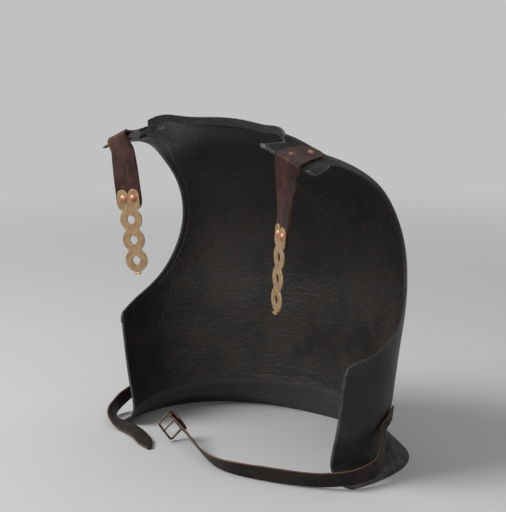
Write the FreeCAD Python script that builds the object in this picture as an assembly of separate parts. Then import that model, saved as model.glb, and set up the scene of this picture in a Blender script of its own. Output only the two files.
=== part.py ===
import FreeCAD, Part
import math
import os
from FreeCAD import Vector

# Armour backplate: a raised steel plate with a flared waist, two leather shoulder straps
# that carry pierced brass plates, and a waist belt in two halves, one with a buckle.
# Millimetres. Z is up, the wearer faces -Y, and X = 0 is the plate's plane of symmetry.
# The origin is on the standing plane, at the middle of the back's bottom edge.

# Steel plate
plate_wall = 3.0
plate_height = 386.0
chest_half_width = 188.5
chest_depth = 143.0
bottom_half_width = 187.0
bottom_depth = 142.0
waist_half_width = 168.5
waist_depth = 125.0
waist_height = 23.0
waist_tilt_deg = 5.0
bottom_roundness = 2.45
waist_roundness = 2.1

# Sections above the waist, bottom to top: heights of their base lines as shares of the
# plate's height, setbacks and reaches as shares of the chest's depth, half widths as
# shares of the chest's half width
base_height_shares = [0.181, 0.337, 0.492, 0.622, 0.731, 0.806, 0.835, 0.860]
base_setback_shares = [0.014, 0.014, 0.014, 0.042, 0.112, 0.248, 0.472, 0.667]
reach_shares = [0.923, 0.944, 1.0, 0.979, 0.811, 0.501, 0.477, 0.469]
width_shares = [0.944, 0.997, 1.0, 0.979, 0.979, 1.016, 0.963, 0.935]
section_tilts_deg = [2.0, 1.5, 2.0, 9.0, 24.0, 44.0, 66.0, 90.0]
section_roundness = [1.95, 1.9, 2.1, 2.25, 2.10, 1.87, 1.98, 1.28]
section_wrap_deg = 40.0
# Swells of the shoulder sections: height, place across and spread, all as shares
shoulder_swell_shares = [(-0.155, 0.73, 0.105), (0.07, 0.53, 0.09)]
wrap_taper_share = 0.8
section_points = 16
blend_steps = 3
foot_overrun_share = 0.35

# Edges of the plate
front_setback = 49.0
front_corner_radius = 10.0
corner_rise_share = 0.25
corner_middle_share = 0.21
foot_corner_radius = 6.0
armhole_low = 138.0
armhole_high = 350.5
armhole_back = 57.0
shoulder_drop = 3.0
# Points of the armhole between its two ends: along y as shares of the way from the
# front edge to its deepest point, along z as shares of its height
armhole_shares = [(0.37, 0.055), (0.70, 0.15), (0.95, 0.345), (1.0, 0.50), (0.87, 0.72), (0.54, 0.90), (0.14, 1.0)]
armhole_band = 4.5
armhole_band_step = 1.1
shoulder_inner_half_width = 91.0
shoulder_outer_half_width = 159.0
shoulder_inner_front = 95.0
shoulder_outer_front = 87.0
neck_half_width = 104.0
neck_side_setback = 70.0
neck_middle_setback = 41.0
neck_rim_thickness = 2.6
neck_rim_height = 5.5

# Small holes for the lining's ties
lining_hole_radius = 1.3
# Each place is a setback from the section base line and a height, and both are shares:
# of the chest's depth and of the plate's height
lining_hole_shares = [(-0.326, 0.217), (-0.209, 0.246)]
flange_hole_share = (0.437, 0.043)
neck_hole_side = 105.8
neck_hole_setback = 45.7

# Shoulder straps
strap_thickness = 2.8
strap_width = 31.0
strap_bed_gap = 0.4
strap_edge_gap = 0.5
right_strap_spacing = 127.0
left_strap_spacing = 127.5
tab_outline = [(-12.5, 14.0), (-8.0, 33.0), (-2.5, 46.0), (5.0, 51.0), (9.0, 49.5), (11.5, 43.0), (15.5, 10.0)]
nose_drop = 7.0
shoulder_search_drop = 7.0
hinge_gap = 0.6
fold_bead_radius = 1.35
right_drop_length = 87.0
left_drop_length = 73.5
right_drop_turn_deg = 28.0
left_drop_turn_deg = 22.0
drop_lean_deg = 6.6
drop_back_lean_deg = 2.8
drop_set_share = 0.28
drop_flat_share = 0.52
drop_set_turn = 0.72
drop_end_chamfer = 5.0

# Brass plates at the straps' ends
ring_plate_thickness = 1.6
ring_outer_radius = 13.6
ring_hole_radius = 4.8
ring_pitch = 24.0
ring_count = 3
ring_neck_width = 16.6
ring_head_width = 27.6
ring_head_length = 24.0
ring_head_to_first_ring = 35.0
ring_head_chamfer = 3.5
ring_lug_width = 7.0
ring_lug_drop = 2.6
ring_lug_reach = 3.4
ring_overlap = 24.0

# Rivets and their washers
strap_rivet_radius = 2.0
strap_rivet_head_radius = 3.9
strap_rivet_head_height = 2.0
strap_rivet_spots = [(-2.9, 8.5), (3.5, 35.1)]
ring_rivet_radius = 1.8
ring_rivet_head_radius = 4.5
ring_rivet_head_height = 2.3
ring_rivet_spacing = 12.2
ring_rivet_drop = 10.5
belt_rivet_radius = 2.2
belt_rivet_head_radius = 4.6
belt_rivet_head_height = 1.9
washer_thickness = 0.9
washer_overlap = 1.6
washer_lift = 0.15
tail_spread = 1.1
tail_height = 1.0
hole_clearance = 0.08
tab_head_gap = 0.2
belt_head_gap = 0.65

# Belt halves
belt_width = 19.5
belt_thickness = 2.6
belt_clearance = 1.5
belt_rivet_height = 58.5
belt_rivet_setback = 25.5
belt_tab_back = 20.0
belt_tab_ahead = 6.5
belt_tab_rise = 0.9
belt_tab_fall_deg = 14.0

# Routes of the belt halves: x as shares of the bottom's half width, y as shares of the
# bottom's depth ahead of the section base line, z of the strap's middle as shares of
# the belt's width, and the lean of the strap's width from upright in degrees
buckle_route_shares = [(0.952, -0.095, 2.615, 8.0), (0.98, -0.036, 1.968, 6.1), (1.011, 0.037, 1.383, 8.3),
                       (1.026, 0.117, 1.039, 2.1), (0.998, 0.25, 0.797, -9.5), (0.958, 0.376, 0.728, -20.9),
                       (0.828, 0.479, 0.542, -22.6), (0.695, 0.568, 0.541, -21.4), (0.524, 0.636, 0.525, -20.0),
                       (0.343, 0.689, 0.5, -27.0), (0.166, 0.695, 0.485, -35.0), (0.009, 0.621, 0.5, -37.0),
                       (-0.13, 0.535, 0.66, -37.0), (-0.28, 0.45, 0.98, -37.0)]
billet_route_shares = [(0.957, -0.095, 2.564, 10.0), (1.011, -0.032, 1.949, 15.0), (1.075, 0.096, 1.295, 22.3),
                       (1.099, 0.168, 0.89, 6.2), (1.083, 0.255, 0.604, -6.7), (1.032, 0.34, 0.49, -32.6),
                       (0.956, 0.414, 0.41, -64.0), (0.847, 0.458, 0.297, -98.2), (0.713, 0.497, 0.244, -97.0),
                       (0.614, 0.551, 0.236, -90.0), (0.528, 0.611, 0.19, -90.0)]
billet_tip_length = 24.0
billet_tip_width = 6.0

# Buckle: the bar's middle in the routes' shares, its turn, and how far the frame is
# folded off the belt
buckle_middle_share = (-0.4203, 0.3669, 1.3538, 0)
buckle_wire_radius = 1.3
buckle_width = 30.0
buckle_length = 21.0
buckle_corner_radius = 3.5
buckle_bar_azimuth_deg = 80.4
buckle_bar_fall_deg = 53.1
buckle_fold_deg = 107.0
buckle_return_length = 15.0
prong_wire_radius = 1.0
prong_slot_gap = 0.6
prong_slot_length = 4.2
prong_overhang = 1.2
fit_gap = 0.1
fold_gap = 0.15

overrun = 20.0
far = 600.0

os.makedirs("parts", exist_ok=True)
up = Vector(0, 0, 1)
along_x = Vector(1, 0, 0)
base_line = plate_wall / 2 - bottom_depth


def save(shape, name):
    shape.exportStep("parts/" + name + ".step")
    print(name, len(shape.Solids), round(shape.Volume, 1), shape.isValid())


def group(solids):
    return Part.makeCompound(solids)


# The plate's form: sections that fan forward from the waist over the shoulders

def form_rows():
    bottom = (0, 0, 0, bottom_half_width, bottom_depth, bottom_roundness)
    waist = (0, waist_height, waist_tilt_deg, waist_half_width, waist_depth, waist_roundness)
    drop = foot_overrun_share
    foot = [b - drop * (w - b) for b, w in zip(bottom, waist)]
    foot[2] = 0
    rows = [foot, bottom, waist]
    for height, setback, tilt, width, reach, roundness in zip(base_height_shares, base_setback_shares,
                                                              section_tilts_deg, width_shares,
                                                              reach_shares, section_roundness):
        rows.append((-setback * chest_depth, height * plate_height, tilt, width * chest_half_width,
                     reach * chest_depth, roundness))
    return rows


def blended(rows):
    ends = [rows[0]] + rows + [rows[-1]]
    dense = []
    for quad in zip(ends, ends[1:], ends[2:], ends[3:]):
        for i in range(blend_steps):
            t = i / blend_steps
            dense.append([b + t / 2 * ((c - a) + t * (2 * a - 5 * b + 4 * c - d + t * (3 * (b - c) + d - a)))
                          for a, b, c, d in zip(*quad)])
    return dense + [rows[-1]]


def swell_at(tilt, across):
    first, last = section_tilts_deg[-3:-1]
    fade = min(1, max(0, (tilt - first) / (last - first)))
    return fade * sum(rise * math.exp(-((abs(across) - place) / spread) ** 2)
                      for rise, place, spread in shoulder_swell_shares)


def section_point(row, angle):
    setback, height, tilt, half_width, reach, roundness = row
    power = 2 / roundness
    across = math.copysign(abs(math.cos(angle)) ** power, math.cos(angle))
    out = math.copysign(abs(math.sin(angle)) ** power, math.sin(angle))
    out *= 1 + swell_at(tilt, across)
    lean = math.radians(tilt)
    x = half_width * across
    y = base_line + setback + reach * out * math.cos(lean)
    z = height + reach * out * math.sin(lean)
    return Vector(x, y, z)


def row_points(row):
    wrap = math.radians(section_wrap_deg) * (1 - wrap_taper_share * row[2] / section_tilts_deg[-1])
    step = (math.pi + 2 * wrap) / (section_points - 1)
    return [section_point(row, step * i - wrap) for i in range(section_points)]


def form_points():
    return [row_points(row) for row in blended(form_rows())]


def surface_through(points):
    surface = Part.BSplineSurface()
    surface.interpolate(points)
    return surface


outer_points = form_points()
outer_surface = surface_through(outer_points)
outer_face = outer_surface.toShape()
back_point = outer_surface.parameter(outer_points[2][section_points // 2])
turned = math.copysign(1, outer_surface.normal(*back_point).y)


def outward(point):
    return outer_surface.normal(*outer_surface.parameter(point)) * turned


outer_normals = [[outward(point) for point in row] for row in outer_points]


def offset_surface(distance):
    rows = []
    for points, normals in zip(outer_points, outer_normals):
        rows.append([point + normal * distance for point, normal in zip(points, normals)])
    return surface_through(rows)


def between(low, high):
    faces = [offset_surface(low).toShape(), offset_surface(high).toShape()]
    sides = [Part.makeRuledSurface(a, b) for a, b in zip(faces[0].Edges, faces[1].Edges)]
    shell = Part.Shell(faces + sides)
    shell.sewShape()
    solid = Part.Solid(shell)
    if solid.Volume < 0:
        solid.reverse()
    return solid


def outer_point(start, direction):
    ray = Part.makeLine(start, start + direction * far)
    hits = outer_face.distToShape(ray)[1]
    return min((hit[0] for hit in hits), key=lambda p: p.distanceToPoint(start + direction * far))


# Outlines that trim the form: one seen from the side, one seen from above

def side_point(y_share, z_share):
    front = base_line - front_setback
    y = front + y_share * (armhole_back + front_setback)
    z = armhole_low + z_share * (armhole_high - armhole_low)
    return Vector(-far, y, z)


def armhole_points(grow):
    front = base_line - front_setback
    rise = front_corner_radius * corner_rise_share
    start = Vector(-far, front + front_corner_radius, armhole_low + rise)
    shoulder = Vector(-far, base_line - shoulder_outer_front, armhole_high - shoulder_drop)
    points = [start] + [side_point(*share) for share in armhole_shares] + [shoulder]
    grown = []
    for i, point in enumerate(points):
        along = points[min(i + 1, len(points) - 1)] - points[max(i - 1, 0)]
        across = Vector(0, along.z, -along.y).normalize()
        grown.append(point + across * grow)
    return grown


def side_outline(grow):
    front = base_line - front_setback + grow
    ahead = base_line - far
    low_corner = Vector(-far, front, foot_corner_radius)
    toe = Vector(-far, front + foot_corner_radius, 0)
    cut = foot_corner_radius * (1 - math.sqrt(0.5))
    toe_middle = Vector(-far, front + cut, cut)
    bend = Vector(-far, front, armhole_low - front_corner_radius)
    points = armhole_points(grow)
    bend_ahead = front_corner_radius * corner_middle_share
    bend_middle = Vector(-far, front + bend_ahead, armhole_low - bend_ahead)
    curve = Part.BSplineCurve()
    curve.interpolate(points)
    top = Vector(-far, ahead, points[-1].z)
    floor_front = Vector(-far, ahead, -overrun)
    floor_back = Vector(-far, toe.y, -overrun)
    edges = [Part.makeLine(floor_front, floor_back), Part.makeLine(floor_back, toe),
             Part.Arc(toe, toe_middle, low_corner).toShape(), Part.makeLine(low_corner, bend),
             Part.Arc(bend, bend_middle, points[0]).toShape(), curve.toShape(),
             Part.makeLine(points[-1], top), Part.makeLine(top, floor_front)]
    return Part.Wire(edges)


def plan_outline(inset):
    inner = Vector(shoulder_inner_half_width, base_line - shoulder_inner_front, 0)
    outer = Vector(shoulder_outer_half_width, base_line - shoulder_outer_front, 0)
    side = inner + (outer - inner) * ((far - inner.x) / (outer.x - inner.x))
    corner = Vector(neck_half_width, base_line - neck_side_setback + inset, 0)
    middle = Vector(0, base_line - neck_middle_setback + inset, 0)
    ahead = base_line - far
    edges = []
    right = [Vector(far, ahead, 0), side, inner, corner]
    left = [Vector(-p.x, p.y, p.z) for p in reversed(right)]
    for a, b in zip(right, right[1:]):
        edges.append(Part.makeLine(a, b))
    edges.append(Part.Arc(corner, middle, left[0]).toShape())
    for a, b in zip(left, left[1:]):
        edges.append(Part.makeLine(a, b))
    edges.append(Part.makeLine(left[-1], right[0]))
    return Part.Wire(edges)


side_tool = Part.Face(side_outline(0)).extrude(along_x * (2 * far))
plan_tool = Part.Face(plan_outline(0)).extrude(up * far)
plan_tool.translate(up * armhole_low)
below_floor = Part.makeBox(2 * far, 2 * far, far, Vector(-far, -far, -far))


def trimmed(solid):
    return solid.cut(side_tool).cut(plan_tool).cut(below_floor)


def backplate():
    band_tool = Part.Face(side_outline(armhole_band)).extrude(along_x * (2 * far))
    above_corner = Part.makeBox(2 * far, 2 * far, far, Vector(-far, -far, armhole_low - front_corner_radius))
    band_tool = band_tool.common(above_corner)
    main = trimmed(between(-plate_wall, 0)).cut(band_tool)
    band = between(armhole_band_step - plate_wall, armhole_band_step).common(band_tool)
    plate = main.fuse(trimmed(band))
    rim_tool = Part.Face(plan_outline(neck_rim_thickness)).extrude(up * far)
    neck_box = Part.makeBox(2 * neck_half_width, far, far, Vector(-neck_half_width, base_line - far, armhole_low))
    rim_tool = rim_tool.common(neck_box)
    rim = between(-plate_wall / 2, neck_rim_height).common(rim_tool)
    plate = plate.fuse(rim.cut(plan_tool))
    for point, normal, radius in plate_holes():
        plate = drilled(plate, point, normal, radius)
    return plate


def surface_at(y, z, side):
    return outer_point(Vector(0, y, z), along_x * side)


def place_share(share, side):
    setback, height = share
    return surface_at(base_line + setback * chest_depth, height * plate_height, side)


def rod(point, direction, low, high, radius):
    return Part.makeCylinder(radius, high - low, point + direction * low, direction)


def drilled(solid, point, direction, radius):
    return solid.cut(rod(point, direction, -overrun / 2, overrun / 2, radius))


def mirrored(shape):
    return shape.mirror(Vector(0, 0, 0), along_x)


def axes_matrix(a, b, c, origin):
    return FreeCAD.Matrix(a.x, b.x, c.x, origin.x, a.y, b.y, c.y, origin.y, a.z, b.z, c.z, origin.z, 0, 0, 0, 1)


# Rivets: a domed head at the top of the stack, a shank, and a tail under the washer

def rivet(point, direction, stack, radius, head_radius, head_height):
    ball_radius = (head_radius ** 2 + head_height ** 2) / (2 * head_height)
    half_angle = math.asin(head_radius / ball_radius) / 2
    arc_middle = Vector(ball_radius * math.sin(half_angle), 0,
                        head_height - ball_radius + ball_radius * math.cos(half_angle))
    tail = radius + tail_spread
    corners = [Vector(0, 0, head_height), Vector(0, 0, -stack - tail_height), Vector(tail, 0, -stack - tail_height),
               Vector(tail, 0, -stack), Vector(radius, 0, -stack), Vector(radius, 0, 0), Vector(head_radius, 0, 0)]
    edges = [Part.makeLine(a, b) for a, b in zip(corners, corners[1:])]
    edges.append(Part.Arc(corners[-1], arc_middle, corners[0]).toShape())
    solid = Part.Face(Part.Wire(edges)).revolve(Vector(0, 0, 0), up, 360)
    solid.Placement = FreeCAD.Placement(point, FreeCAD.Rotation(up, direction))
    return solid


def washer(point, direction, depth, radius):
    disc = rod(point, direction, -depth - washer_thickness, -depth, radius + tail_spread + washer_overlap)
    return disc.cut(rod(point, direction, -depth - overrun, overrun, radius + hole_clearance))


# Shoulder straps: a tab riveted on the shoulder that turns down over its front edge, and a
# hanging part that turns about the lower edge of the tab's nose.
# Both straps are drawn on the +X side, and the left one is mirrored when it is saved

edge_inner = Vector(shoulder_inner_half_width, base_line - shoulder_inner_front, 0)
edge_outer = Vector(shoulder_outer_half_width, base_line - shoulder_outer_front, 0)
edge_along = (edge_outer - edge_inner).normalize()
edge_ahead = Vector(edge_along.y, -edge_along.x, 0)
tab_lift = strap_bed_gap + strap_thickness
lean = math.radians(drop_lean_deg)
hang = Vector(-math.sin(lean), math.sin(math.radians(drop_back_lean_deg)), -math.cos(lean)).normalize()


def prism(points):
    face = Part.Face(Part.makePolygon(points + points[:1]))
    solid = face.extrude(up * far)
    solid.translate(up * armhole_low)
    return solid


def form_height(x, y):
    return outer_point(Vector(x, y, armhole_high - shoulder_search_drop), up)


def turned_width(turn_deg):
    turn = math.radians(turn_deg)
    flat = Vector(math.cos(turn), -math.sin(turn), 0)
    return (flat - hang * flat.dot(hang)).normalize()


def bar_section(middle, across, normal, width, thickness):
    a = across * (width / 2)
    n = normal * (thickness / 2)
    return Part.makePolygon([middle - a - n, middle + a - n, middle + a + n, middle - a + n, middle - a - n])


half_edge = edge_along * (strap_width / 2)


class Strap:
    def __init__(self, spacing, drop_length, turn_deg):
        self.drop_length = drop_length
        self.turn_deg = turn_deg
        self.across = turned_width(turn_deg)
        self.front = hang.cross(self.across).normalize()
        self.edge_middle = edge_inner + edge_along * ((spacing - edge_inner.x) / edge_along.x)
        fold_middle = self.edge_middle + edge_ahead * (strap_edge_gap + strap_thickness / 2)
        inner = form_height(fold_middle.x - half_edge.x, fold_middle.y - half_edge.y)
        outer = form_height(fold_middle.x + half_edge.x, fold_middle.y + half_edge.y)
        self.fold_along = (outer - inner).normalize()
        fold_normal = (outward(inner) + outward(outer)).normalize()
        fold_drop = nose_drop + hinge_gap + strap_thickness / 2
        self.fold_point = (inner + outer) * 0.5 - fold_normal * fold_drop
        ring_start = self.fold_point + hang * (drop_length - ring_overlap)
        self.ring_top = ring_start + self.front * (strap_thickness / 2)
        self.tab_places = self.find_tab_places()
        self.ring_places = [self.on_drop(side * ring_rivet_spacing / 2, -ring_rivet_drop, ring_plate_thickness)
                            for side in (-1, 1)]

    def find_tab_places(self):
        places = []
        for aside, back in strap_rivet_spots:
            spot = self.on_shoulder(aside, back)
            hit = form_height(spot.x, spot.y)
            places.append((hit, outward(hit)))
        return places

    def on_shoulder(self, aside, back):
        return self.edge_middle + edge_along * aside - edge_ahead * back

    def on_drop(self, x, y, z):
        return self.ring_top + self.across * x - hang * y + self.front * z

    def tab(self):
        front = self.edge_middle + edge_ahead * (strap_edge_gap + strap_thickness)
        plan = prism([front - half_edge] + [self.on_shoulder(*spot) for spot in tab_outline] + [front + half_edge])
        near = self.edge_middle + edge_ahead * strap_edge_gap
        nose = prism([near - half_edge, near + half_edge, front + half_edge, front - half_edge])
        solid = between(strap_bed_gap, tab_lift).common(plan)
        solid = solid.fuse(between(-nose_drop, tab_lift).common(nose))
        for point, normal in self.tab_places:
            solid = drilled(solid, point, normal, strap_rivet_radius + hole_clearance)
        return solid

    def tab_rivets(self):
        top = tab_lift + tab_head_gap
        stack = top + plate_wall + washer_lift + washer_thickness
        return group([rivet(point + normal * top, normal, stack, strap_rivet_radius, strap_rivet_head_radius,
                            strap_rivet_head_height) for point, normal in self.tab_places])

    def tab_washers(self):
        depth = plate_wall + washer_lift
        return group([washer(point, normal, depth, strap_rivet_radius) for point, normal in self.tab_places])

    def drop(self):
        sections = [bar_section(self.fold_point, self.fold_along, hang.cross(self.fold_along).normalize(),
                                strap_width, strap_thickness)]
        turn_deg = self.turn_deg
        stops = [(drop_set_share, turn_deg * drop_set_turn, strap_width), (drop_flat_share, turn_deg, strap_width),
                 (1 - drop_end_chamfer / self.drop_length, turn_deg, strap_width),
                 (1, turn_deg, strap_width - 2 * drop_end_chamfer)]
        for share, turn, width in stops:
            across = turned_width(turn)
            middle = self.fold_point + hang * (share * self.drop_length)
            sections.append(bar_section(middle, across, hang.cross(across).normalize(), width, strap_thickness))
        body = Part.makeLoft(sections, True, True)
        start = self.fold_point - self.fold_along * (strap_width / 2)
        body = body.fuse(Part.makeCylinder(fold_bead_radius, strap_width, start, self.fold_along))
        for point in self.ring_places:
            body = drilled(body, point, self.front, ring_rivet_radius + hole_clearance)
        return body

    def ring_plate(self):
        placed = ring_plate_flat()
        placed.transformShape(axes_matrix(self.across, hang * -1, self.front, self.ring_top))
        return placed

    def ring_rivets(self):
        stack = ring_plate_thickness + strap_thickness + washer_thickness
        return group([rivet(point, self.front, stack, ring_rivet_radius, ring_rivet_head_radius,
                            ring_rivet_head_height) for point in self.ring_places])

    def ring_washers(self):
        depth = ring_plate_thickness + strap_thickness
        return group([washer(point, self.front, depth, ring_rivet_radius) for point in self.ring_places])


# Brass ring plate, drawn flat: x across, y up from the middle of its top, z forward

def ring_centres():
    return [-(ring_head_to_first_ring + i * ring_pitch) for i in range(ring_count)]


def ring_plate_flat():
    lobe = ring_head_width / 4
    half = ring_head_width / 2
    low = -ring_head_length
    cut = ring_head_chamfer
    outline = [Vector(-half, -lobe, 0), Vector(half, -lobe, 0), Vector(half, low + cut, 0),
               Vector(half - cut, low, 0), Vector(cut - half, low, 0), Vector(-half, low + cut, 0)]
    plate = Part.Face(Part.makePolygon(outline + outline[:1])).extrude(up * ring_plate_thickness)
    for side in (-1, 1):
        plate = plate.fuse(Part.makeCylinder(lobe, ring_plate_thickness, Vector(side * lobe, -lobe, 0)))
    centres = ring_centres()
    for y in centres:
        plate = plate.fuse(Part.makeCylinder(ring_outer_radius, ring_plate_thickness, Vector(0, y, 0)))
    neck_rise = math.sqrt(ring_outer_radius ** 2 - (ring_neck_width / 2) ** 2)
    for y in centres[1:]:
        bottom = Vector(-ring_neck_width / 2, y + neck_rise, 0)
        plate = plate.fuse(Part.makeBox(ring_neck_width, ring_pitch - 2 * neck_rise, ring_plate_thickness, bottom))
    foot = centres[-1] - ring_outer_radius - ring_lug_drop
    corner = Vector(-ring_lug_width / 2, foot, 0)
    plate = plate.fuse(Part.makeBox(ring_lug_width, 2 * ring_lug_drop, ring_plate_thickness, corner))
    plate = plate.fuse(Part.makeBox(ring_lug_width, ring_plate_thickness, ring_lug_reach, corner))
    for y in centres:
        plate = drilled(plate, Vector(0, y, 0), up, ring_hole_radius)
    for side in (-1, 1):
        spot = Vector(side * ring_rivet_spacing / 2, -ring_rivet_drop, 0)
        plate = drilled(plate, spot, up, ring_rivet_radius + hole_clearance)
    return plate


right_strap = Strap(right_strap_spacing, right_drop_length, right_drop_turn_deg)
left_strap = Strap(left_strap_spacing, left_drop_length, left_drop_turn_deg)


# Belt halves: ribbons that leave a tab riveted on the flank and run round the corner

belt_lift = belt_clearance + belt_thickness / 2
belt_rivet_y = base_line + belt_rivet_setback


def belt_rivet_place(side):
    point = surface_at(belt_rivet_y, belt_rivet_height, side)
    return point, outward(point)


def route_row(share, side):
    x, ahead, height, slant = share
    return [side * x * bottom_half_width, base_line - ahead * bottom_depth, height * belt_width, slant]


def tab_rows(side):
    fall = math.radians(belt_tab_fall_deg)
    rows = []
    for distance, rise in ((-belt_tab_back, 0), (0, 0), (belt_tab_ahead, belt_tab_rise)):
        y = belt_rivet_y - distance * math.cos(fall)
        z = belt_rivet_height - distance * math.sin(fall)
        hit = surface_at(y, z, side)
        normal = outward(hit)
        spot = hit + normal * (belt_lift + rise)
        rows.append([spot.x, spot.y, spot.z, math.degrees(math.asin(normal.z))])
    return rows


def ribbon_frames(shares, side):
    rows = blended(tab_rows(side) + [route_row(share, side) for share in shares])
    middles = [Vector(*row[:3]) for row in rows]
    frames = []
    for i, row in enumerate(rows):
        along = (middles[min(i + 1, len(rows) - 1)] - middles[max(i - 1, 0)]).normalize()
        out = Vector(along.y, -along.x, 0).normalize() * side
        slant = math.radians(row[3])
        across = up * math.cos(slant) + out * math.sin(slant)
        across = (across - along * across.dot(along)).normalize()
        frames.append((middles[i], along, across))
    return frames


def ribbon(frames, widths):
    sections = [bar_section(middle, across, along.cross(across), width, belt_thickness)
                for (middle, along, across), width in zip(frames, widths)]
    return Part.makeLoft(sections, True, True)


def belt_rivet(side):
    point, normal = belt_rivet_place(side)
    top = belt_clearance + belt_thickness + belt_head_gap
    stack = top + plate_wall + washer_lift + washer_thickness
    return rivet(point + normal * top, normal, stack, belt_rivet_radius, belt_rivet_head_radius,
                 belt_rivet_head_height)


def belt_washer(side):
    point, normal = belt_rivet_place(side)
    return washer(point, normal, plate_wall + washer_lift, belt_rivet_radius)


def belt_drilled(belt, side):
    point, normal = belt_rivet_place(side)
    return drilled(belt, point, normal, belt_rivet_radius + hole_clearance)


def billet_belt():
    frames = ribbon_frames(billet_route_shares, -1)
    middle, along, across = frames[-1]
    frames.append((middle + along * billet_tip_length, along, across))
    belt = ribbon(frames, [belt_width] * (len(frames) - 1) + [billet_tip_width])
    return belt_drilled(belt, -1)


# Buckle: the belt is folded round the bar, and the frame and the prong hang on the bar

def direction_from(azimuth_deg, fall_deg):
    azimuth = math.radians(azimuth_deg)
    fall = math.radians(fall_deg)
    return Vector(math.cos(azimuth) * math.cos(fall), math.sin(azimuth) * math.cos(fall), -math.sin(fall))


buckle_middle = Vector(*route_row(buckle_middle_share, 1)[:3])
bar_along = direction_from(buckle_bar_azimuth_deg, buckle_bar_fall_deg)
belt_frames = ribbon_frames(buckle_route_shares, 1)
last_middle = belt_frames[-1][0]
run = buckle_middle - last_middle
run = (run - bar_along * run.dot(bar_along)).normalize()
bar_normal = run.cross(bar_along)
fold_radius = buckle_wire_radius + fold_gap
fold_out = fold_radius + belt_thickness


def buckle_belt():
    end = buckle_middle + bar_normal * (fold_radius + belt_thickness / 2)
    frames = belt_frames + [(end, run, bar_along * -1)]
    belt = ribbon(frames, [belt_width] * len(frames))
    start = buckle_middle - bar_along * (belt_width / 2)
    loop = Part.makeCylinder(fold_out, belt_width, start, bar_along)
    back = Part.makeBox(2 * fold_out, 2 * fold_out, belt_width)
    matrix = axes_matrix(run, bar_normal, bar_along, start)
    back.translate(Vector(-2 * fold_out, -fold_out, 0))
    back.transformShape(matrix)
    loop = loop.cut(back)
    returned = Part.makeBox(buckle_return_length, belt_thickness, belt_width)
    returned.translate(Vector(-buckle_return_length, -fold_out, 0))
    returned.transformShape(matrix)
    belt = belt.fuse(loop).fuse(returned)
    belt = belt.cut(Part.makeCylinder(fold_radius, belt_width + 2 * overrun, start - bar_along * overrun, bar_along))
    slot = 2 * (prong_wire_radius + prong_slot_gap)
    gap = Part.makeBox(2 * overrun, 2 * fold_out, slot)
    gap.translate(Vector(-prong_slot_length, -fold_out, (belt_width - slot) / 2))
    gap.transformShape(matrix)
    return belt_drilled(belt.cut(gap), 1)


def turned_run(angle_deg):
    angle = math.radians(angle_deg)
    return run * math.cos(angle) + bar_normal * math.sin(angle)


frame_out = turned_run(buckle_fold_deg)


def wire_corner(corner, first, second):
    r = buckle_corner_radius
    centre = corner + first * r + second * r
    disc = Part.Face(Part.Wire(Part.makeCircle(buckle_wire_radius, corner + first * r, first)))
    return disc.revolve(centre, first.cross(second), -90)


def buckle_frame():
    a = buckle_middle - bar_along * (buckle_width / 2)
    corners = [a, a + frame_out * buckle_length, a + frame_out * buckle_length + bar_along * buckle_width,
               a + bar_along * buckle_width]
    solid = None
    for i, corner in enumerate(corners):
        following = corners[(i + 1) % 4]
        before = corners[i - 1]
        ahead = (following - corner).normalize()
        behind = (before - corner).normalize()
        straight = Part.makeCylinder(buckle_wire_radius, (following - corner).Length - 2 * buckle_corner_radius,
                                     corner + ahead * buckle_corner_radius, ahead)
        piece = straight.fuse(wire_corner(corner, ahead, behind))
        solid = piece if solid is None else solid.fuse(piece)
    return solid


def buckle_prong():
    side = turned_run(buckle_fold_deg - 90)
    ring_inner = buckle_wire_radius + fit_gap
    width = 2 * prong_wire_radius
    start = buckle_middle - bar_along * prong_wire_radius
    lift = buckle_wire_radius + fit_gap + prong_wire_radius
    ring = Part.makeCylinder(ring_inner + width, width, start, bar_along)
    length = buckle_length + prong_overhang
    tongue = Part.makeCylinder(prong_wire_radius, length, buckle_middle + side * lift, frame_out)
    ring = ring.fuse(tongue)
    return ring.cut(Part.makeCylinder(ring_inner, width + 2 * overrun, start - bar_along * overrun, bar_along))


def plate_holes():
    holes = []
    for side in (-1, 1):
        for share in lining_hole_shares:
            point = place_share(share, side)
            holes.append((point, outward(point), lining_hole_radius))
        point, normal = belt_rivet_place(side)
        holes.append((point, normal, belt_rivet_radius + hole_clearance))
        strap = right_strap if side > 0 else left_strap
        for point, normal in strap.tab_places:
            point = Vector(side * point.x, point.y, point.z)
            normal = Vector(side * normal.x, normal.y, normal.z)
            holes.append((point, normal, strap_rivet_radius + hole_clearance))
    flange = place_share(flange_hole_share, 1)
    holes.append((flange, outward(flange), lining_hole_radius))
    neck = form_height(-neck_hole_side, base_line - neck_hole_setback)
    holes.append((neck, outward(neck), lining_hole_radius))
    return holes


save(backplate(), "backplate")
for side, strap in (("right", right_strap), ("left", left_strap)):
    pieces = [("strap_tab", strap.tab()), ("strap", strap.drop()), ("tab_rivets", strap.tab_rivets()),
              ("tab_washers", strap.tab_washers()), ("ring_plate", strap.ring_plate()),
              ("ring_rivets", strap.ring_rivets()), ("ring_washers", strap.ring_washers())]
    for name, shape in pieces:
        save(shape if side == "right" else mirrored(shape), side + "_" + name)
save(buckle_belt(), "buckle_belt")
save(billet_belt(), "billet_belt")
save(belt_rivet(1), "buckle_belt_rivet")
save(belt_rivet(-1), "billet_belt_rivet")
save(belt_washer(1), "buckle_belt_washer")
save(belt_washer(-1), "billet_belt_washer")
save(buckle_frame(), "buckle_frame")
save(buckle_prong(), "buckle_prong")
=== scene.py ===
import bpy
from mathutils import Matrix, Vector
from mathutils.bvhtree import BVHTree


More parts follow.
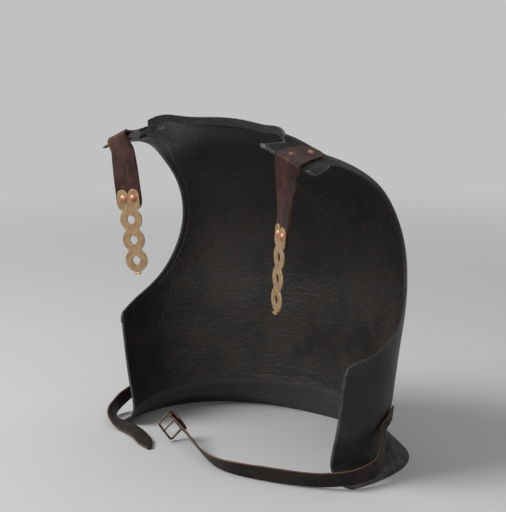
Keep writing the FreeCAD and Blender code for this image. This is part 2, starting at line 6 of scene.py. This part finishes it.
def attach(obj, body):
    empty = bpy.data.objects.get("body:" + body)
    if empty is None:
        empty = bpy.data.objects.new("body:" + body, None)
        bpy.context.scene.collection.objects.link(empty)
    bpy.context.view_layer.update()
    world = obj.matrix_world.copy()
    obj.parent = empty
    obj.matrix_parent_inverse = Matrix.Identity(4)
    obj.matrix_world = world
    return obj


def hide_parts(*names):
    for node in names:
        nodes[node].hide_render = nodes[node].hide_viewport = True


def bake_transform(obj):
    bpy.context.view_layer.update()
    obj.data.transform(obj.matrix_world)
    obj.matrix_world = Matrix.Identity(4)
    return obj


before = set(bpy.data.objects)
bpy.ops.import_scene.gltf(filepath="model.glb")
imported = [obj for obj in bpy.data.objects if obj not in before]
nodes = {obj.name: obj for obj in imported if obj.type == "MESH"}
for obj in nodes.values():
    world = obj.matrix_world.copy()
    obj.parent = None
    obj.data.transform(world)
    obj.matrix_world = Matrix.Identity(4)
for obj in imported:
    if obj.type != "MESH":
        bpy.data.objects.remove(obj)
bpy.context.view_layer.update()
bpy.ops.object.select_all(action="DESELECT")
print("frame loaded", len(nodes), "nodes")


# A shader socket, so that sums on it are written as plain expressions

class Mask:
    def __init__(self, finish, socket):
        self.finish = finish
        self.socket = socket

    def join(self, operation, first, second):
        made = self.finish.node("ShaderNodeMath", {"operation": operation}, {0: first, 1: second})
        return Mask(self.finish, made.outputs[0])

    def __add__(self, other):
        return self.join("ADD", self, other)

    def __radd__(self, other):
        return self.join("ADD", other, self)

    def __sub__(self, other):
        return self.join("SUBTRACT", self, other)

    def __rsub__(self, other):
        return self.join("SUBTRACT", other, self)

    def __mul__(self, other):
        return self.join("MULTIPLY", self, other)

    def size(self):
        made = self.finish.node("ShaderNodeMath", {"operation": "ABSOLUTE"}, {0: self})
        return Mask(self.finish, made.outputs[0])

    def between(self, low, high):
        # 0 at low, 1 at high, eased at both ends; low may be the larger
        made = self.finish.node("ShaderNodeMapRange", {"interpolation_type": "SMOOTHSTEP"},
                                {"Value": self, "From Min": low, "From Max": high})
        return Mask(self.finish, made.outputs["Result"])


# One material, with the nodes that its surfaces share

class Finish:
    bevelSamples = 6

    def __init__(self, name):
        self.material = bpy.data.materials.new(name)
        self.material.use_nodes = True
        self.tree = self.material.node_tree
        self.shader = self.tree.nodes["Principled BSDF"]
        self.place = self.node("ShaderNodeTexCoord").outputs["Object"]

    def node(self, kind, settings=None, sockets=None):
        made = self.tree.nodes.new(kind)
        for key, value in (settings or {}).items():
            setattr(made, key, value)
        for key, value in (sockets or {}).items():
            self.feed(made.inputs[key], value)
        return made

    def feed(self, socket, value):
        if isinstance(value, Mask):
            value = value.socket
        if isinstance(value, bpy.types.NodeSocket):
            self.tree.links.new(value, socket)
        else:
            socket.default_value = value

    def noise(self, scale, detail, roughness, place=None):
        made = self.node("ShaderNodeTexNoise", None, {"Vector": place or self.place, "Scale": scale,
                                                      "Detail": detail, "Roughness": roughness})
        return Mask(self, made.outputs[0])

    def cells(self, scale):
        made = self.node("ShaderNodeTexVoronoi", {"feature": "SMOOTH_F1"}, {"Vector": self.place, "Scale": scale})
        return Mask(self, made.outputs["Distance"])

    def stretched(self, scale):
        return self.node("ShaderNodeMapping", None, {"Vector": self.place, "Scale": scale}).outputs[0]

    def axis(self, letter):
        return Mask(self, self.node("ShaderNodeSeparateXYZ", None, {"Vector": self.place}).outputs[letter])

    def colour(self, mask, first, second):
        # first where the mask is 0, second where it is 1
        made = self.node("ShaderNodeMix", {"data_type": "RGBA"}, {"Factor": mask})
        self.feed(made.inputs[6], first)
        self.feed(made.inputs[7], second)
        return made.outputs[2]

    def attribute(self, name):
        return Mask(self, self.node("ShaderNodeAttribute", {"attribute_name": name}).outputs["Fac"])

    def near(self, spot, radius):
        made = self.node("ShaderNodeVectorMath", {"operation": "DISTANCE"}, {0: self.place, 1: spot})
        return Mask(self, made.outputs["Value"]).between(radius, 0.0)

    def edges(self, radius):
        # 0 on open faces, rising towards a sharp outer edge
        bevel = self.node("ShaderNodeBevel", {"samples": self.bevelSamples}, {"Radius": radius})
        flat = self.node("ShaderNodeNewGeometry").outputs["Normal"]
        made = self.node("ShaderNodeVectorMath", {"operation": "DOT_PRODUCT"}, {0: bevel.outputs[0], 1: flat})
        return 1.0 - Mask(self, made.outputs["Value"]), bevel.outputs[0]

    def bump(self, height, distance, strength, normal=None):
        made = self.node("ShaderNodeBump", None, {"Height": height, "Distance": distance, "Strength": strength})
        if normal is not None:
            self.feed(made.inputs["Normal"], normal)
        return made.outputs[0]

    def paint(self, colour, roughness, metallic=0.0, normal=None):
        self.feed(self.shader.inputs["Base Color"], colour)
        self.feed(self.shader.inputs["Roughness"], roughness)
        self.feed(self.shader.inputs["Metallic"], metallic)
        if normal is not None:
            self.feed(self.shader.inputs["Normal"], normal)
        return self.material


# Steel plate

plateLook = {
    "dark": (0.0190, 0.0180, 0.0175, 1),
    "grey": (0.038, 0.0365, 0.0355, 1),
    "brown": (0.036, 0.025, 0.019, 1),
    "pale": (0.085, 0.080, 0.077, 1),
    "shaded": (0.0075, 0.0070, 0.0065, 1),
    # the worn colour, also used for painted highlights and a painted spot of light
    "worn": (0.33, 0.32, 0.30, 1),
    "roughness": 0.34,
    "metallic": 0.12,
    "gloss": 0.26,
    # noises: scale, detail and roughness
    "clouds": (14.0, 5.0, 0.6),
    "blotches": (55.0, 4.0, 0.65),
    "speckle": (420.0, 3.0, 0.7),
    "waves": (150.0, 3.0, 0.5),
    "waveStretch": (0.45, 0.45, 1.6),
    "dents": (32.0, 2.0, 0.4),
    "pebbles": 300.0,
    "reliefDepth": 0.0012,
    "reliefStrength": 0.7,
    # how strongly each tone, painted light and painted shade among them, is laid on
    "inBrown": 0.45,
    "overallBrown": 0.2,
    "speckled": 0.4,
    "paleTop": 0.28,
    "shadedTop": 0.8,
    "shadedCollar": 0.7,
    "paleFlange": 0.5,
    "shadedFlange": 0.85,
    "paleCrease": 0.35,
    # places, in metres
    "hollow": (0.0, -0.19, 0.19),           # a point in the hollow that tells the inside from the outside
    "insideFacing": (0.02, -0.02),
    "borderFacing": (0.075, 0.045),
    "topOfInside": (0.25, 0.36),
    "collarFoot": (0.3765, 0.3795),
    "shoulderHeight": (0.345, 0.365),
    "creaseHeight": 0.0425,                 # where the waist crease crosses y = 0
    "creaseClimb": 0.12,                    # how it climbs with y
    "creaseHalf": 0.011,
    "creaseLine": 0.005,
    "creaseRise": 1.5,                      # in relief depths
    "flangeTop": (0.002, -0.004),
    "edgeRadius": 0.0013,
    # the hole by the neck, with a painted spot of light round it
    "neckHole": (-0.1058, -0.1862, 0.3722),
    "neckHoleReach": 0.0064,
    # where a painted highlight lies, at the inner corner of the right shoulder's front edge
    "chippedCorner": (0.0905, -0.2345, 0.3745),
    "chippedReach": 0.012,
}


def plateFinish():
    look = plateLook
    steel = Finish("brownedSteel")
    normal = steel.node("ShaderNodeNewGeometry").outputs["Normal"]
    outwards = steel.node("ShaderNodeVectorMath", {"operation": "SUBTRACT"}, {0: steel.place, 1: look["hollow"]})
    facing = steel.node("ShaderNodeVectorMath", {"operation": "DOT_PRODUCT"}, {0: normal, 1: outwards.outputs[0]})
    facing = Mask(steel, facing.outputs["Value"])
    inside = facing.between(*look["insideFacing"])
    border = facing.size().between(*look["borderFacing"])
    height = steel.axis("Z")
    clouds = steel.noise(*look["clouds"])
    blotches = steel.noise(*look["blotches"])
    speckle = steel.noise(*look["speckle"])
    pebbles = steel.cells(look["pebbles"])
    waves = steel.noise(*look["waves"], steel.stretched(look["waveStretch"]))
    dents = steel.noise(*look["dents"])

    # browned and speckled all over, with painted light making the top of the inside paler
    colour = steel.colour(clouds.between(0.38, 0.66), look["dark"], look["grey"])
    stained = (blotches * 0.6 + clouds * 0.5).between(0.42, 0.72)
    colour = steel.colour(stained * (inside * look["inBrown"] + look["overallBrown"]), colour, look["brown"])
    colour = steel.colour(speckle.between(0.62, 0.8) * look["speckled"], colour, look["pale"])
    highInside = height.between(*look["topOfInside"]) * inside
    colour = steel.colour(highInside * look["paleTop"], colour, look["pale"])

    # dull on the upward-facing surfaces such as the tops of the shoulders, with painted shade on them and on the
    # upright collar round the neck
    upwards = Mask(steel, steel.node("ShaderNodeSeparateXYZ", None, {"Vector": normal}).outputs["Z"])
    laidUp = upwards.between(0.15, 0.6)
    colour = steel.colour(laidUp * look["shadedTop"], colour, look["shaded"])
    # painted shade on the upright collar round the neck
    collar = height.between(*look["collarFoot"])
    colour = steel.colour(collar * look["shadedCollar"], colour, look["shaded"])

    # the waist crease, a ridge inside and a valley outside, with the flange below it; painted light on the inside of
    # the flange, painted shade on its outside and a painted highlight along the crease inside
    overCrease = height - (look["creaseHeight"] + steel.axis("Y") * look["creaseClimb"])
    crease = overCrease.size().between(look["creaseHalf"], 0.0)
    flange = overCrease.between(*look["flangeTop"])
    colour = steel.colour(flange * inside * look["paleFlange"], colour, look["pale"])
    colour = steel.colour(flange * (1 - inside) * look["shadedFlange"], colour, look["shaded"])
    # a painted highlight along the crease on the inside
    creaseLine = overCrease.size().between(look["creaseLine"], 0.0) * inside
    colour = steel.colour(creaseLine * look["paleCrease"], colour, look["pale"])

    # paler along the edges, partly worn bright and partly painted highlight where the edges catch the light, most of
    # all along the top edges; a painted highlight at the inner corner of the right shoulder's front edge and a painted
    # spot of light round the hole by the neck
    edge, rounded = steel.edges(look["edgeRadius"])
    chipped = (blotches + speckle * 0.8).between(0.75, 1.05)
    worn = edge.between(0.06, 0.32) * (chipped * 0.75 + 0.2) * (1 - inside * 0.7)
    worn = worn + border * (1 - collar) * chipped * 0.12
    worn = worn + edge.between(0.10, 0.4) * height.between(*look["shoulderHeight"]) * (speckle * 0.6 + 0.3)
    # a painted highlight at the inner corner of the right shoulder's front edge
    worn = worn + steel.near(look["chippedCorner"], look["chippedReach"]) * speckle.between(0.45, 0.62) * 0.8
    # a painted spot of light round the hole by the neck, where light shows through
    worn = worn + steel.near(look["neckHole"], look["neckHoleReach"]) * 1.6
    colour = steel.colour(worn, colour, look["worn"])

    roughness = look["roughness"] + blotches * 0.26 - worn * 0.12 + laidUp * 0.35
    metallic = look["metallic"] + worn * 0.6
    steel.shader.inputs["Specular IOR Level"].default_value = look["gloss"]
    relief = (pebbles * 0.8 + waves * 1.3) * (inside * 0.75 + 0.12) + dents * 1.6 + speckle * 0.14
    relief = relief + crease * (inside * 2 - 1) * look["creaseRise"]
    bumped = steel.bump(relief, look["reliefDepth"], look["reliefStrength"], rounded)
    return steel.paint(colour, roughness, metallic, bumped)


nodes["backplate"].data.materials.clear()
nodes["backplate"].data.materials.append(plateFinish())
print("plate finished")


# Leather

shoulderLooks = {
    "right": {
        "base": (0.045, 0.0140, 0.0120, 1),
        "dark": (0.017, 0.0075, 0.0070, 1),
        "worn": (0.130, 0.050, 0.030, 1),
        "edge": (0.105, 0.044, 0.033, 1),
        "grain": 900.0,
        "roughness": 0.58,
        "gloss": 0.2,
    },
    "left": {
        "base": (0.088, 0.039, 0.031, 1),
        "dark": (0.036, 0.017, 0.0145, 1),
        "worn": (0.190, 0.088, 0.060, 1),
        "edge": (0.130, 0.056, 0.042, 1),
        "grain": 900.0,
        "roughness": 0.58,
        "gloss": 0.2,
    },
}
beltLook = {
    "base": (0.028, 0.0190, 0.0160, 1),
    "dark": (0.012, 0.0095, 0.0090, 1),
    "worn": (0.066, 0.038, 0.028, 1),
    "edge": (0.165, 0.072, 0.050, 1),
    "grain": 800.0,
    "roughness": 0.64,
    "gloss": 0.2,
}
leatherPattern = {
    # noises: scale, detail and roughness
    "patches": (38.0, 5.0, 0.6),
    "scuffs": (150.0, 5.0, 0.7),
    "scuffStretch": (1.0, 1.0, 0.35),
    "creases": (230.0, 4.0, 0.6),
    "creaseStretch": (0.5, 0.5, 2.2),
    "reliefDepth": 0.0005,
    "reliefStrength": 0.7,
}


def leatherFinish(name, look, folds=()):
    leather, pattern = Finish(name), leatherPattern
    patches = leather.noise(*pattern["patches"])
    scuffs = leather.noise(*pattern["scuffs"], leather.stretched(pattern["scuffStretch"]))
    grain = leather.cells(look["grain"])
    creases = leather.noise(*pattern["creases"], leather.stretched(pattern["creaseStretch"]))
    cut = leather.attribute("cutEdge")

    colour = leather.colour(patches.between(0.35, 0.65), look["dark"], look["base"])
    colour = leather.colour(scuffs.between(0.52, 0.74) * 0.5, colour, look["worn"])
    rubbed = cut * (scuffs * 0.5 + 0.55)
    colour = leather.colour(rubbed, colour, look["edge"])
    for spot, radius, strength in folds:
        fade = leather.near(spot, radius) * scuffs.between(0.35, 0.7) * strength
        colour = leather.colour(fade, colour, look["worn"])
    dips = creases.between(0.62, 0.48)
    colour = leather.colour(dips * 0.25, colour, look["dark"])
    height = grain * 0.35 + creases * 0.8 + scuffs * 0.4
    bumped = leather.bump(height, pattern["reliefDepth"], pattern["reliefStrength"])
    leather.shader.inputs["Specular IOR Level"].default_value = look["gloss"]
    return leather.paint(colour, look["roughness"] - scuffs * 0.12, 0.0, bumped)


wear = {
    "merge": 0.00001,
    "smoothing": 0.5,
    "rayStart": 0.0006,     # just under the surface
    "rayReach": 0.05,
    "thickWall": 1.5,       # a wall this many thicknesses deep is the strap seen from its edge
}


def leatherCopy(name, source, shape):
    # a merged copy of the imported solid, evened out by a remesh and then worn soft
    piece = bpy.data.objects.new(name, nodes[source].data.copy())
    bpy.context.scene.collection.objects.link(piece)
    piece.select_set(True)
    bpy.context.view_layer.objects.active = piece
    bpy.ops.object.mode_set(mode="EDIT")
    bpy.ops.mesh.select_all(action="SELECT")
    bpy.ops.mesh.remove_doubles(threshold=wear["merge"])
    bpy.ops.object.mode_set(mode="OBJECT")
    solid = BVHTree.FromObject(piece, bpy.context.evaluated_depsgraph_get())
    remesh = piece.modifiers.new("even", "REMESH")
    remesh.mode = "VOXEL"
    remesh.voxel_size = shape["voxel"]
    bpy.ops.object.modifier_apply(modifier="even")
    smooth = piece.modifiers.new("soft", "SMOOTH")
    smooth.factor = wear["smoothing"]
    smooth.iterations = shape["softening"]
    bpy.ops.object.modifier_apply(modifier="soft")
    wearSoft(piece, solid, shape)
    return piece


def wearSoft(piece, solid, shape):
    for texture, size, strength in shape["swells"]:
        pattern = bpy.data.textures.new(piece.name + texture, "CLOUDS")
        pattern.noise_scale = size
        swell = piece.modifiers.new(texture, "DISPLACE")
        swell.texture = pattern
        swell.strength = strength
        swell.mid_level = 0.5
        bpy.ops.object.modifier_apply(modifier=texture)
    markCutEdges(piece, solid, shape["thickness"])
    bpy.ops.object.shade_smooth()
    piece.select_set(False)


def markCutEdges(piece, solid, thickness):
    # a point with a thick wall behind it lies on a cut edge of the leather
    depths = []
    for vertex in piece.data.vertices:
        inwards = -vertex.normal
        hit = solid.ray_cast(vertex.co + inwards * wear["rayStart"], inwards, wear["rayReach"])
        depth = hit[3] if hit[3] is not None else 0.0
        depths.append(min(1.0, max(0.0, (depth - thickness * wear["thickWall"]) / thickness)))
    marks = piece.data.attributes.new("cutEdge", "FLOAT", "POINT")
    marks.data.foreach_set("value", depths)


# Shoulder straps: one length of leather each, laid over the shoulder's front edge

shoulderShape = {
    "thickness": 0.0028,
    "bedGap": 0.0006,
    "halfWidth": 0.0155,
    "endHalfWidth": 0.0105,
    "columns": 4,
    "smoothness": 3,
    "bevel": 0.0005,
    # tab rows: inner edge, outer edge and distance behind the shoulder's front edge
    "tab": [(0.0036, 0.0084, 0.0516), (0.0002, 0.0104, 0.0492), (-0.0026, 0.0114, 0.045), (-0.0056, 0.012, 0.039),
            (-0.008, 0.0126, 0.032), (-0.010, 0.0136, 0.023), (-0.0124, 0.0147, 0.014), (-0.0142, 0.0154, 0.006),
            (-0.0150, 0.0155, 0.002)],
    # how the strap's rise at the fold dies away over the tab
    "riseReach": 0.012,
    "riseShare": 0.8,
    # the nose over the shoulder's edge, from rows measured at the brow: forward, up and share of the rise
    "browBack": 0.0012,
    "nose": [(0.0022, 0.0002, 1.0), (0.0044, -0.0013, 0.9), (0.0052, -0.0042, 0.6)],
    # worn marks: place under the fold, radius and strength, the first one also higher by the rise
    "crownMark": (-0.009, 0.014, 0.8),
    "foldMark": (0.0, 0.012, 0.4),
    "blendStart": 0.004,
    "blendEnd": 0.014,
    "swells": [("Waves", 0.016, 0.0007), ("Wrinkles", 0.0045, 0.00035)],
}
# a point of the shoulder's edge, the fold's middle, the directions of the fold's line, of the ring plate's width and of
# the drop, and the turns: share of the drop's length and share of the way from the first width to the second
straps = {
    "right": {"side": 1, "edge": (0.1270, -0.23126), "fold": (0.12352, -0.23079, 0.35263), "length": 0.087,
              "along": (0.9078, 0.1068, -0.4055), "across": (0.8755, -0.467, -0.1243),
              "hang": (-0.1148, 0.0488, -0.9922), "rise": 0.0006,
              "turns": [(0.035, 0.14), (0.12, 0.32), (0.25, 0.52), (0.38, 0.76), (0.5, 0.93), (0.62, 1.0), (0.8, 1.0),
                        (0.94, 1.0)]},
    "left": {"side": -1, "edge": (0.1275, -0.23121), "fold": (-0.12402, -0.23069, 0.35243), "length": 0.0735,
             "along": (-0.9082, 0.1069, -0.4046), "across": (-0.9200, -0.3714, -0.1247),
             "hang": (0.1148, 0.0488, -0.9922), "rise": 0.0038,
             "turns": [(0.03, 0.56), (0.12, 0.68), (0.25, 0.8), (0.38, 0.9), (0.5, 1.0), (0.62, 1.0), (0.8, 1.0),
                       (0.93, 1.0)]},
}
edgeAlong = Vector((0.9932, 0.1168))
edgeAhead = Vector((0.1168, -0.9932))
overhead = 0.45
plateTree = BVHTree.FromObject(nodes["backplate"], bpy.context.evaluated_depsgraph_get())


def onShoulder(strap, aside, back, lift):
    # the plate's top at a place aside of the strap's middle and behind the shoulder's edge
    spot = Vector(strap["edge"]) + edgeAlong * aside - edgeAhead * back
    above = Vector((strap["side"] * spot.x, spot.y, overhead))
    hit, normal, face, distance = plateTree.ray_cast(above, Vector((0, 0, -1)))
    return hit + normal * lift


def strapRows(strap):
    shape = shoulderShape
    columns = shape["columns"]
    shares = [column / columns for column in range(columns + 1)]
    ahead = Vector((strap["side"] * edgeAhead.x, edgeAhead.y, 0))
    bed = shape["bedGap"] + shape["thickness"] / 2
    rows = []
    for inner, outer, back in shape["tab"]:
        lift = bed + strap["rise"] * max(0.0, 1 - back / shape["riseReach"]) * shape["riseShare"]
        rows.append([onShoulder(strap, inner + (outer - inner) * share, back, lift) for share in shares])
    brow = [onShoulder(strap, shape["halfWidth"] * (2 * share - 1), shape["browBack"], bed) for share in shares]
    for forward, up, riseShare in shape["nose"]:
        climb = Vector((0, 0, up + strap["rise"] * riseShare))
        rows.append([point + ahead * forward + climb for point in brow])
    along, across, hang = Vector(strap["along"]), Vector(strap["across"]), Vector(strap["hang"])
    drop = [(down, turn, shape["halfWidth"]) for down, turn in strap["turns"]]
    for down, turn, half in drop + [(1.0, 1.0, shape["endHalfWidth"])]:
        middle = Vector(strap["fold"]) + hang * (strap["length"] * down)
        width = along.lerp(across, turn).normalized() * half
        rows.append([middle + width * (2 * share - 1) for share in shares])
    return rows


def shoulderStrap(name, strap):
    # a grid laid row by row over the shoulder and down the drop, then smoothed, thickened and bevelled
    shape = shoulderShape
    rows = strapRows(strap)
    bpy.ops.mesh.primitive_grid_add(x_subdivisions=shape["columns"], y_subdivisions=len(rows) - 1, size=1)
    piece = bpy.context.object
    piece.name = name
    piece.data.name = name
    points = [point for row in rows for point in row]
    for vertex, point in zip(piece.data.vertices, points):
        vertex.co = point
    for kind, settings in (("SUBSURF", {"levels": shape["smoothness"], "render_levels": shape["smoothness"]}),
                           ("SOLIDIFY", {"thickness": shape["thickness"], "offset": 0.0}),
                           ("BEVEL", {"width": shape["bevel"], "segments": 2, "limit_method": "ANGLE"})):
        step = piece.modifiers.new(kind.lower(), kind)
        for key, value in settings.items():
            setattr(step, key, value)
        bpy.ops.object.modifier_apply(modifier=step.name)
    bpy.ops.object.mode_set(mode="EDIT")
    bpy.ops.mesh.select_all(action="SELECT")
    bpy.ops.mesh.normals_make_consistent(inside=False)
    bpy.ops.object.mode_set(mode="OBJECT")
    solid = BVHTree.FromObject(piece, bpy.context.evaluated_depsgraph_get())
    wearSoft(piece, solid, shape)
    return piece


for side, strap in straps.items():
    piece = shoulderStrap(side + "ShoulderStrap", strap)
    fold, hang = Vector(strap["fold"]), Vector(strap["hang"])
    crownDown, crownRadius, crownStrength = shoulderShape["crownMark"]
    foldDown, foldRadius, foldStrength = shoulderShape["foldMark"]
    folds = [(tuple(fold + hang * (crownDown - strap["rise"])), crownRadius, crownStrength),
             (tuple(fold + hang * foldDown), foldRadius, foldStrength)]
    piece.data.materials.clear()
    piece.data.materials.append(leatherFinish(side + "ShoulderLeather", shoulderLooks[side], folds))
    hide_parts(side + "_strap_tab", side + "_strap")
    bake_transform(piece)
    print(side, "shoulder strap", len(piece.data.polygons), "faces")


# Belt halves

beltShape = {
    "voxel": 0.00065,
    "softening": 5,
    "thickness": 0.0026,
    "swells": [("Waves", 0.02, 0.0006), ("Wrinkles", 0.005, 0.0003)],
}
beltLeather = leatherFinish("beltLeather", beltLook)
for name, source in (("buckleBelt", "buckle_belt"), ("billetBelt", "billet_belt")):
    piece = leatherCopy(name, source, beltShape)
    piece.data.materials.clear()
    piece.data.materials.append(beltLeather)
    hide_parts(source)
    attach(piece, source + "_body")
    print(name, len(piece.data.polygons), "faces")


# Metal fittings

fittingLooks = {
    "ringBrass": {"base": (0.50, 0.34, 0.19, 1), "dark": (0.34, 0.225, 0.12, 1), "worn": (0.72, 0.54, 0.34, 1),
                  "roughness": 0.38, "metallic": 0.9, "edgeRadius": 0.0006},
    "copperHead": {"base": (0.56, 0.26, 0.155, 1), "dark": (0.30, 0.13, 0.08, 1), "worn": (0.70, 0.38, 0.25, 1),
                   "roughness": 0.40, "metallic": 0.9, "edgeRadius": 0.0005},
    "tabCopper": {"base": (0.30, 0.135, 0.075, 1), "dark": (0.13, 0.06, 0.04, 1), "worn": (0.42, 0.20, 0.13, 1),
                  "roughness": 0.42, "metallic": 0.6, "edgeRadius": 0.0005},
    "dullIron": {"base": (0.055, 0.046, 0.040, 1), "dark": (0.02, 0.017, 0.015, 1), "worn": (0.22, 0.20, 0.18, 1),
                 "roughness": 0.48, "metallic": 0.7, "edgeRadius": 0.0005},
    "buckleBronze": {"base": (0.16, 0.095, 0.050, 1), "dark": (0.05, 0.033, 0.022, 1), "worn": (0.42, 0.29, 0.17, 1),
                     "roughness": 0.36, "metallic": 0.85, "edgeRadius": 0.0005},
}
fittingPattern = {
    # noises: scale, detail and roughness
    "tarnish": (130.0, 5.0, 0.65),
    "specks": (700.0, 3.0, 0.6),
    "scratches": (900.0, 2.0, 0.5),
    "scratchStretch": (1.0, 1.0, 0.12),
    "reliefDepth": 0.00025,
    "reliefStrength": 0.6,
}
fittingPieces = {
    "ringBrass": ["left_ring_plate", "right_ring_plate"],
    "copperHead": ["left_ring_rivets", "right_ring_rivets"],
    "tabCopper": ["left_tab_rivets", "right_tab_rivets"],
    "dullIron": ["left_tab_washers", "right_tab_washers", "left_ring_washers", "right_ring_washers",
                 "buckle_belt_rivet", "billet_belt_rivet", "buckle_belt_washer", "billet_belt_washer"],
    "buckleBronze": ["buckle_frame", "buckle_prong"],
}


def fittingFinish(name, look):
    metal, pattern = Finish(name), fittingPattern
    tarnish = metal.noise(*pattern["tarnish"])
    specks = metal.noise(*pattern["specks"])
    scratches = metal.noise(*pattern["scratches"], metal.stretched(pattern["scratchStretch"]))
    edge, rounded = metal.edges(look["edgeRadius"])
    colour = metal.colour(tarnish.between(0.42, 0.66), look["base"], look["dark"])
    colour = metal.colour(specks.between(0.56, 0.72) * 0.5, colour, look["dark"])
    worn = edge.between(0.03, 0.25) * (tarnish * 0.6 + 0.3)
    colour = metal.colour(worn, colour, look["worn"])
    roughness = look["roughness"] + tarnish * 0.2
    relief = tarnish * 0.5 + scratches * 0.25 + specks * 0.2
    bumped = metal.bump(relief, pattern["reliefDepth"], pattern["reliefStrength"], rounded)
    return metal.paint(colour, roughness, look["metallic"], bumped)


for name, look in fittingLooks.items():
    material = fittingFinish(name, look)
    for node in fittingPieces[name]:
        nodes[node].data.materials.clear()
        nodes[node].data.materials.append(material)
print("fittings finished")


# Floor, light and camera

stageLook = {
    "floorSize": 9.0,
    "floor": (0.490, 0.488, 0.488, 1),
    "floorRoughness": 0.9,
    "floorGloss": 0.1,
    "floorEnds": (1.9, 0.55),               # metres from the object where the floor has gone and where it starts to
    "backdrop": (0.535, 0.535, 0.535, 1),
    "world": (0.62, 0.63, 0.64, 1),
    "worldStrength": 0.36,
}
lamps = {
    "keyLamp": {"place": (-1.15, -1.65, 2.0), "size": 1.4, "power": 74.0},
    "fillLamp": {"place": (1.9, -1.2, 1.5), "size": 2.2, "power": 12.0},
    "topLamp": {"place": (0.1, 0.5, 2.4), "size": 1.8, "power": 14.0},
}
lampTarget = (0.0, -0.12, 0.2)
cameraView = {
    "place": (1.1559, -1.4480, 0.5933),
    "target": (-0.0388, -0.1005, 0.2158),
    "lens": 108.5,
    "sensorHeight": 36.0,
}


def layFloor(look):
    bpy.ops.mesh.primitive_plane_add(size=look["floorSize"], location=(0, 0, 0))
    floor = bpy.context.object
    floor.name = "studioFloor"
    paper = Finish("studioPaper")
    paper.shader.inputs["Specular IOR Level"].default_value = look["floorGloss"]
    reach = paper.node("ShaderNodeVectorMath", {"operation": "LENGTH"}, {0: paper.place})
    paper.feed(paper.shader.inputs["Alpha"], Mask(paper, reach.outputs["Value"]).between(*look["floorEnds"]))
    floor.data.materials.append(paper.paint(look["floor"], look["floorRoughness"]))
    floor.select_set(False)


def lightWorld(look):
    # even light on the object, and a plain backdrop for the camera and for reflections
    world = bpy.data.worlds.new("studioWorld")
    bpy.context.scene.world = world
    world.use_nodes = True
    links, shaders = world.node_tree.links, world.node_tree.nodes
    lighting = shaders["Background"]
    lighting.inputs["Color"].default_value = look["world"]
    lighting.inputs["Strength"].default_value = look["worldStrength"]
    backdrop = shaders.new("ShaderNodeBackground")
    backdrop.inputs["Color"].default_value = look["backdrop"]
    rays = shaders.new("ShaderNodeLightPath")
    seen = rays.outputs["Is Camera Ray"]
    for name in ("Is Glossy Ray", "Is Transmission Ray"):
        either = shaders.new("ShaderNodeMath")
        either.operation = "MAXIMUM"
        links.new(seen, either.inputs[0])
        links.new(rays.outputs[name], either.inputs[1])
        seen = either.outputs[0]
    chosen = shaders.new("ShaderNodeMixShader")
    for made, socket in ((seen, 0), (lighting.outputs[0], 1), (backdrop.outputs[0], 2)):
        links.new(made, chosen.inputs[socket])
    links.new(chosen.outputs[0], shaders["World Output"].inputs["Surface"])


def turnTowards(looker, target):
    looker.rotation_mode = "QUATERNION"
    looker.rotation_quaternion = (Vector(target) - looker.location).to_track_quat("-Z", "Y")
    looker.select_set(False)


layFloor(stageLook)
lightWorld(stageLook)
for name, lamp in lamps.items():
    bpy.ops.object.light_add(type="AREA", location=lamp["place"])
    light = bpy.context.object
    light.name = name
    light.data.size = lamp["size"]
    light.data.energy = lamp["power"]
    turnTowards(light, lampTarget)

bpy.ops.object.camera_add(location=cameraView["place"])
camera = bpy.context.object
camera.data.sensor_fit = "VERTICAL"
camera.data.sensor_height = cameraView["sensorHeight"]
camera.data.lens = cameraView["lens"]
turnTowards(camera, cameraView["target"])
bpy.context.scene.camera = camera
bpy.context.scene.view_settings.view_transform = "Standard"
print("stage set")
